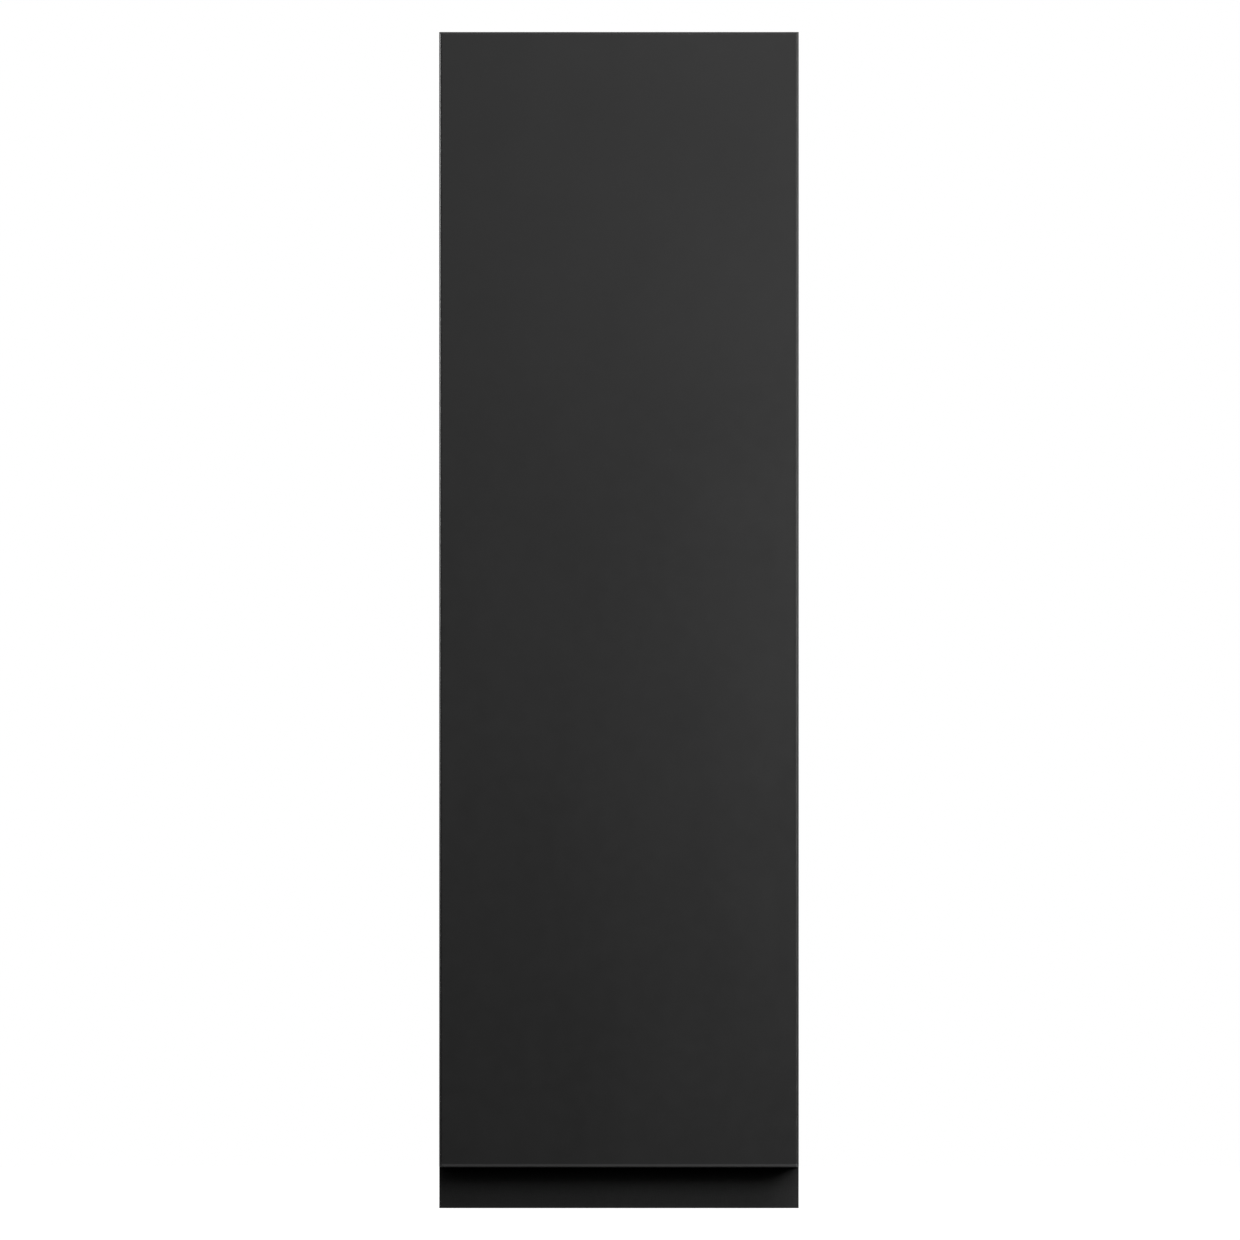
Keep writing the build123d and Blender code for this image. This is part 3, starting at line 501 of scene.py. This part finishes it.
def plastic(name, level, rough):
    """Moulded plastic with a spark-eroded grain."""
    look = Look(name)
    erosion = look.noise(per_metre=1400, detail=3, rough=0.6)
    cloud = look.noise(per_metre=60, detail=3)
    tone = look.add(look.vary(erosion, *EROSION_TONE), look.vary(cloud, -0.06, 0.06))
    roughness = look.vary(erosion, rough, rough + EROSION_ROUGHENS)
    return look.finish(
        Base_Color=look.tint(grey(level), tone),
        Roughness=look.add(roughness, look.vary(cloud, -0.04, 0.04)),
        Normal=look.relief(erosion, EROSION_RELIEF),
        IOR=1.49,
    )


def soft_clear(name):
    """Clear soft plastic of a stick-on bumper, with a faint haze and moulding ripples."""
    look = Look(name)
    haze = look.noise(per_metre=900, detail=3)
    ripple = look.noise(per_metre=260, detail=2)
    return look.finish(
        Base_Color=look.tint(CLEAR, look.vary(haze, 0.93, 1.0)),
        Roughness=look.vary(haze, 0.1, 0.22),
        Transmission_Weight=0.85,
        Normal=look.relief(ripple, RIPPLE_RELIEF),
        IOR=1.45,
    )


bright_steel = metal(
    "bright_steel", STEEL, smooth=0.25, rough=0.35, scratches=(1500, 1500, 1500), depth=0.003 * MM
)
nickel_plate = metal(
    "nickel_plate", NICKEL, smooth=0.2, rough=0.28, scratches=(900, 900, 160), depth=0.002 * MM
)
chrome_tube = metal(
    "chrome_tube", CHROME, smooth=0.14, rough=0.2, scratches=(14, 900, 900), depth=0.001 * MM, tarnish=0.02
)
cast_zinc = metal(
    "cast_zinc", CAST, smooth=0.36, rough=0.48, scratches=(1600, 1600, 1600), depth=0.006 * MM, tarnish=0.08
)

BY_SLOT = {
    "clear_bumper": soft_clear("clear_bumper"),
    "beech": beech("dowel_beech"),
    "rail_steel": chrome_tube,
    "zinc": cast_zinc,
    "nickel_steel": nickel_plate,
    "latch_plastic": plastic("latch_plastic", level=0.16, rough=0.38),
    "black_plastic": plastic("black_plastic", level=0.022, rough=0.42),
}
BRIGHT = ("hinge_pin", "hinge_plate_screws", "hinge_cup_screws", "hinge_adjusters", "shelf_pins")


def node_material(node, slot_name):
    """Bright steel for the small turned pieces, else the slot's material, else the board's own."""
    if node.startswith(BRIGHT):
        return bright_steel
    return BY_SLOT.get(slot_name) or board_material(node)


for part in frame["record"]["subparts"]:
    material = node_material(part["node"], part["material_slot"])
    for slot in frame["nodes"][part["node"]].material_slots:
        slot.material = material


# --------------------------------------------------------------------------------------------------
# Release levers: the sprung tongue behind each hinge arm that unclips it from its plate
# --------------------------------------------------------------------------------------------------
LEVER_STEPS, LEVER_ROWS = 24, 8
LEVER_LENGTH = 15 * MM
LEVER_HALF = 4.6 * MM
LEVER_STEEL = 0.8 * MM
LEVER_INSIDE = 4.2 * MM  # how much of its length lies under the arm
LEVER_UNDER = 2.7 * MM  # how far below the arm's outer face its middle sheet starts
LEVER_RISE = 5.2 * MM
LEVER_ROUND_FROM = 0.72  # share of the length where the rounded tip begins
LEVER_ROUNDING = 2.4  # 2 would be an ellipse, and more is squarer
LEVER_END = 0.995  # short of 1, where the outline would close to a point
LEVER_RIBS = 3
LEVER_RIBS_FROM, LEVER_RIBS_OVER = 0.3, 0.6  # shares of the free length
LEVER_RIB = 0.35 * MM


def lever_point(along, across):
    """A point on the lever's middle sheet. along is 0 at its hidden end to 1, across is -1 to 1."""
    tip = max(0.0, along - LEVER_ROUND_FROM) / (1 - LEVER_ROUND_FROM)
    half = LEVER_HALF * math.sqrt(max(0.0, 1 - tip ** LEVER_ROUNDING))
    free = max(0.0, along * LEVER_LENGTH - LEVER_INSIDE) / (LEVER_LENGTH - LEVER_INSIDE)
    rise = LEVER_RISE * free * free * (3 - 2 * free)
    ribbed = min(1.0, max(0.0, (free - LEVER_RIBS_FROM) / LEVER_RIBS_OVER))
    grip = math.sin(math.pi * LEVER_RIBS * ribbed) ** 2
    rib = LEVER_RIB * grip * max(0.0, 1 - across * across)
    return rise + rib, along * LEVER_LENGTH, across * half


def lever_mesh(name, root):
    """The lever's middle sheet as a grid, with its hidden end at root."""
    crosswise = [2 * row / LEVER_ROWS - 1 for row in range(LEVER_ROWS + 1)]
    shape = bmesh.new()
    rows = []
    for step in range(LEVER_STEPS + 1):
        along = min(step / LEVER_STEPS, LEVER_END)
        rows.append([shape.verts.new(root + Vector(lever_point(along, across))) for across in crosswise])
    for first, second in zip(rows, rows[1:]):
        for row in range(LEVER_ROWS):
            face = shape.faces.new((first[row], first[row + 1], second[row + 1], second[row]))
            face.smooth = True
    mesh = bpy.data.meshes.new(name)
    shape.to_mesh(mesh)
    shape.free()
    return mesh


def release_lever(arm, number):
    """The lever of one hinge arm, as a closed bent sheet."""
    low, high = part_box(arm)
    root = Vector((high[X] - LEVER_UNDER, high[Y] - LEVER_INSIDE, (low[Z] + high[Z]) / 2))
    name = f"release_lever_{number}"
    lever = bpy.data.objects.new(name, lever_mesh(name, root))
    lever.data.materials.append(bright_steel)
    bpy.context.scene.collection.objects.link(lever)
    sheet = lever.modifiers.new("steel", "SOLIDIFY")
    sheet.thickness = LEVER_STEEL
    sheet.offset = 0
    edges = lever.modifiers.new("deburr", "BEVEL")
    edges.width = LEVER_STEEL / 4
    edges.segments = 2
    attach(lever, "carcass")


arms = sorted(name for name in frame["nodes"] if name.startswith("hinge_arm"))
for number, arm in enumerate(arms, 1):
    release_lever(arm, number)


# --------------------------------------------------------------------------------------------------
# Studio
# --------------------------------------------------------------------------------------------------
WHITE = (1, 1, 1, 1)
SKY_BELOW, SKY_ABOVE = 0.004, 0.41
SKY_LOW, SKY_HIGH = 0.02, 0.6  # sines of the elevations between which it brightens
FLOOR_RADIUS, FLOOR_SEGMENTS = 5.0, 96
FLOOR_DROP = 0.2 * MM
FLOOR_GLOW, FLOOR_PAINT = 0.95, 0.1


def studio_world():
    """White to the camera. For lighting, a soft sky, brighter overhead and almost dark below the floor."""
    world = bpy.data.worlds.new("studio")
    bpy.context.scene.world = world
    world.use_nodes = True
    nodes, links = world.node_tree.nodes, world.node_tree.links
    nodes.clear()
    direction = nodes.new("ShaderNodeTexCoord").outputs["Generated"]
    height = nodes.new("ShaderNodeSeparateXYZ")
    links.new(direction, height.inputs[0])
    sky = nodes.new("ShaderNodeMapRange")
    links.new(height.outputs["Z"], sky.inputs["Value"])
    sky.inputs["From Min"].default_value = SKY_LOW
    sky.inputs["From Max"].default_value = SKY_HIGH
    sky.inputs["To Min"].default_value = SKY_BELOW
    sky.inputs["To Max"].default_value = SKY_ABOVE
    light = nodes.new("ShaderNodeBackground")
    links.new(sky.outputs["Result"], light.inputs["Strength"])
    seen = nodes.new("ShaderNodeBackground")
    for background in (light, seen):
        background.inputs["Color"].default_value = WHITE
    rays = nodes.new("ShaderNodeLightPath")
    choose = nodes.new("ShaderNodeMixShader")
    links.new(rays.outputs["Is Camera Ray"], choose.inputs[0])
    links.new(light.outputs[0], choose.inputs[1])
    links.new(seen.outputs[0], choose.inputs[2])
    out = nodes.new("ShaderNodeOutputWorld")
    links.new(choose.outputs[0], out.inputs["Surface"])


def studio_floor():
    """A white round floor that throws no light back up."""
    mesh = bpy.data.meshes.new("floor")
    shape = bmesh.new()
    bmesh.ops.create_circle(shape, cap_ends=True, segments=FLOOR_SEGMENTS, radius=FLOOR_RADIUS)
    shape.to_mesh(mesh)
    shape.free()
    floor = bpy.data.objects.new("floor", mesh)
    floor.location.z = cad_low[Z] - FLOOR_DROP
    bpy.context.scene.collection.objects.link(floor)
    look = Look("floor")
    paint = look.tint(grey(FLOOR_PAINT), look.vary(look.noise(per_metre=3, detail=3), 0.97, 1.0))
    look.finish(Base_Color=paint, Roughness=0.9, Emission_Color=WHITE, Emission_Strength=FLOOR_GLOW)
    look.material.cycles.emission_sampling = "NONE"
    mesh.materials.append(look.material)
    floor.visible_diffuse = False
    floor.visible_glossy = False


def softbox(name, place, target, size, watts, glossy=True):
    """A rectangular area light at place, aimed at target. glossy is whether it shows in reflections."""
    lamp = bpy.data.lights.new(name, "AREA")
    lamp.shape = "RECTANGLE"
    lamp.size, lamp.size_y = size
    lamp.energy = watts
    holder = bpy.data.objects.new(name, lamp)
    holder.location = place
    holder.rotation_euler = (Vector(target) - Vector(place)).to_track_quat("-Z", "Y").to_euler()
    holder.visible_camera = False
    holder.visible_glossy = glossy
    bpy.context.scene.collection.objects.link(holder)


studio_world()
studio_floor()
softbox("strip", place=(1.45, -1.5, 1.3), target=(0, 0, 1.1), size=(0.5, 1.5), watts=13.5)
softbox("low", place=(1.2, -0.95, 0.75), target=(0, -0.2, 0.5), size=(0.4, 0.8), watts=14, glossy=False)
softbox("key", place=(1.0, -1.9, 3.1), target=(0.1, 0, 1.2), size=(1.0, 1.0), watts=63, glossy=False)
softbox("front", place=(0.3, -3.2, 2.1), target=(0, 0, 1.2), size=(2.0, 1.0), watts=14, glossy=False)
softbox("card", place=(0.3, -3.3, 2.1), target=(0, 0, 1.2), size=(2.4, 1.4), watts=5)
softbox("rear", place=(1.6, 2.6, 2.6), target=(0, 0, 1.0), size=(1.6, 1.6), watts=80, glossy=False)
softbox("left", place=(-2.6, 1.1, 1.9), target=(0, 0, 1.0), size=(1.4, 2.0), watts=75)
softbox("right", place=(2.7, 0.9, 2.0), target=(0, 0, 1.1), size=(1.4, 2.0), watts=30)


# --------------------------------------------------------------------------------------------------
# Camera
# --------------------------------------------------------------------------------------------------
SENSOR_MM = 36.0
LENS_MM = 1200.0
VIEW_WIDTH = 2.0686  # what the picture spans at the door's face
VIEW_CENTRE = (0.0017, 0.9818)  # X and Z

camera_data = bpy.data.cameras.new("camera")
camera_data.sensor_width = SENSOR_MM
camera_data.lens = LENS_MM
distance = VIEW_WIDTH * LENS_MM / SENSOR_MM
camera_data.clip_start, camera_data.clip_end = distance / 2, distance * 2
camera = bpy.data.objects.new("camera", camera_data)
camera.location = (VIEW_CENTRE[0], cad_low[Y] - distance, VIEW_CENTRE[1])
camera.rotation_euler = (math.radians(90), 0, 0)
bpy.context.scene.collection.objects.link(camera)
bpy.context.scene.camera = camera
bpy.context.scene.view_settings.view_transform = "Standard"
